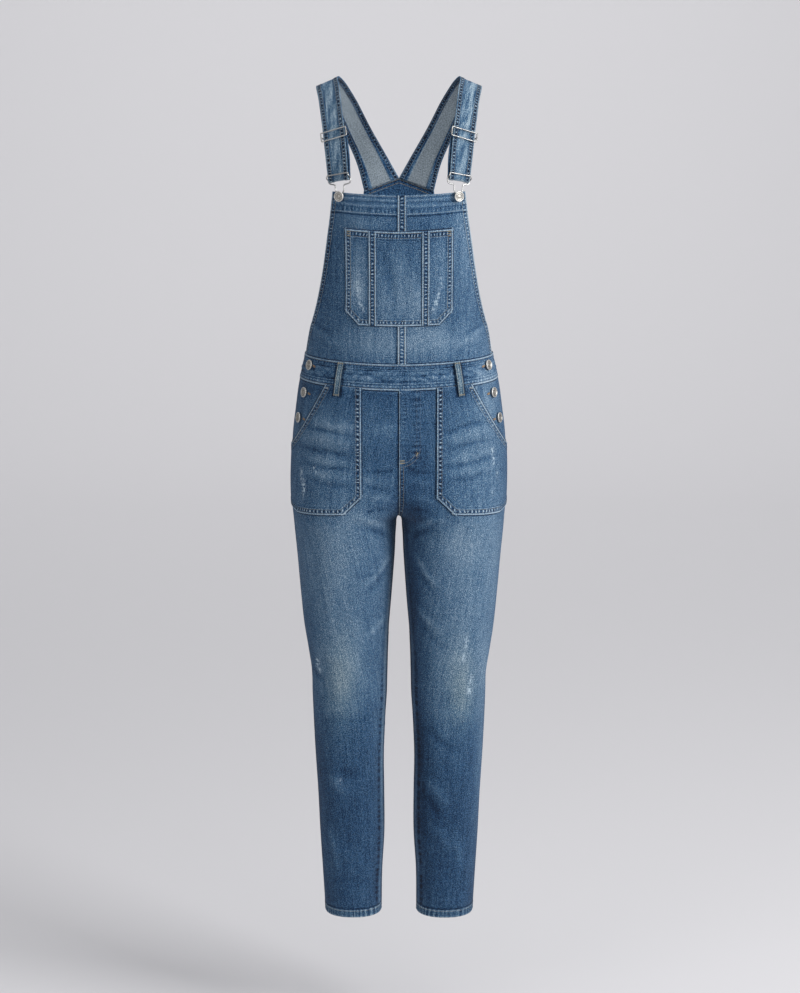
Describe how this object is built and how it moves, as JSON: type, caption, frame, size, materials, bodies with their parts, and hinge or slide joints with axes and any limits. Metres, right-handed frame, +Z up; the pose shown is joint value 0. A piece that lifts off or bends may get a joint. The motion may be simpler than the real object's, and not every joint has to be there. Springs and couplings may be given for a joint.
{
  "type": "denim dungarees",
  "caption": "Slim ankle-length denim dungarees, filled out and hollow, with adjustable straps, wire buckles, a bib pocket and slanted hip pockets.",
  "frame": {"origin": "midway between the tops of the two shoulder straps, where the wearer's shoulders carry the garment", "axes": "+Z up, -Y towards the front of the garment, +X towards the wearer's left"},
  "size_m": [0.3566, 0.2577, 1.4031],
  "materials": {
    "denim": "washed mid-blue stretch denim, faded on thighs and knees",
    "steel_wire": "polished wire",
    "button_metal": "dull silver"
  },
  "bodies": {
    "root": {"bib_left": "denim", "bib_right": "denim", "bib_seam_upper": "denim", "bib_seam_lower": "denim", "bib_pocket_centre": "denim", "bib_pocket_side_left": "denim", "bib_pocket_side_right": "denim", "bib_pocket_fell_left": "denim", "bib_pocket_fell_right": "denim", "waistband_front": "denim", "waistband_back": "denim", "front_left": "denim", "front_right": "denim", "back_left": "denim", "back_right": "denim", "hip_pocket_left": "denim", "hip_pocket_right": "denim", "belt_loop_front_left": "denim", "belt_loop_front_right": "denim", "belt_loop_back_left": "denim", "belt_loop_back_right": "denim", "back_bib": "denim", "strap_left": "denim", "strap_right": "denim", "slider_left": "steel_wire", "slider_right": "steel_wire", "hook_left": "steel_wire", "hook_right": "steel_wire", "bib_button_left": "button_metal", "bib_button_right": "button_metal", "side_button_left_1": "button_metal", "side_button_left_2": "button_metal", "side_button_left_3": "button_metal", "side_button_right_1": "button_metal", "side_button_right_2": "button_metal", "side_button_right_3": "button_metal"}
  },
  "joints": []
}
